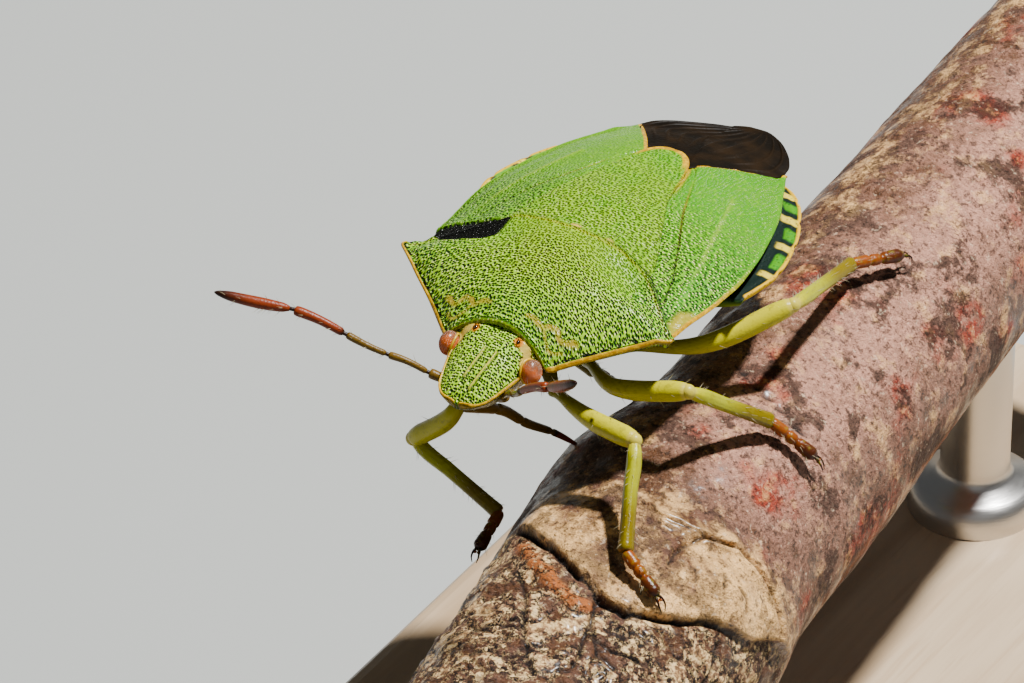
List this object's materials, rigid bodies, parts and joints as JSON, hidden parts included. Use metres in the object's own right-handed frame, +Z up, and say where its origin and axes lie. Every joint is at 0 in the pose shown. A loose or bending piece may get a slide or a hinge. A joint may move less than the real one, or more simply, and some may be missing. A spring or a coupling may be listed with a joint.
{
  "type": "shield bug",
  "caption": "Life-size still model of a green shield bug gripping a short cut length of branch, held over a flat base by short rods.",
  "frame": {"origin": "centre of the stand base's underside, on the surface it rests on", "axes": "+Z up, -Y where the bug's head points, +X to the bug's left"},
  "size_m": [0.02, 0.033, 0.02],
  "materials": {
    "eye": "smooth, satin-bright facets",
    "green_cuticle": "green cuticle with dense dark pits, satin",
    "dark_membrane": "thin dark-brown veined membrane, glossy",
    "belly": "olive-green cuticle, satin",
    "leg": "lime-yellow cuticle with fine hairs, satin",
    "feeler": "olive-brown to red-brown cuticle, satin",
    "bark": "brown and pink-grey bark with cracks",
    "base_wood": "pale sanded wood",
    "rod_metal": "brushed"
  },
  "bodies": {
    "root": {"head": "green_cuticle", "eye_left": "eye", "eye_right": "eye", "pronotum": "green_cuticle", "scutellum": "green_cuticle", "forewing_left": "green_cuticle", "forewing_right": "green_cuticle", "wing_membrane": "dark_membrane", "abdomen": "belly", "thorax": "belly", "rostrum": "belly", "antenna_left": "feeler", "antenna_right": "feeler", "leg_front_left": "leg", "leg_middle_left": "leg", "leg_hind_left": "leg", "leg_front_right": "leg", "leg_middle_right": "leg", "leg_hind_right": "leg", "perch_branch": "bark", "stand_base": "base_wood", "stand_rod_front": "rod_metal", "stand_rod_rear": "rod_metal"}
  },
  "joints": []
}
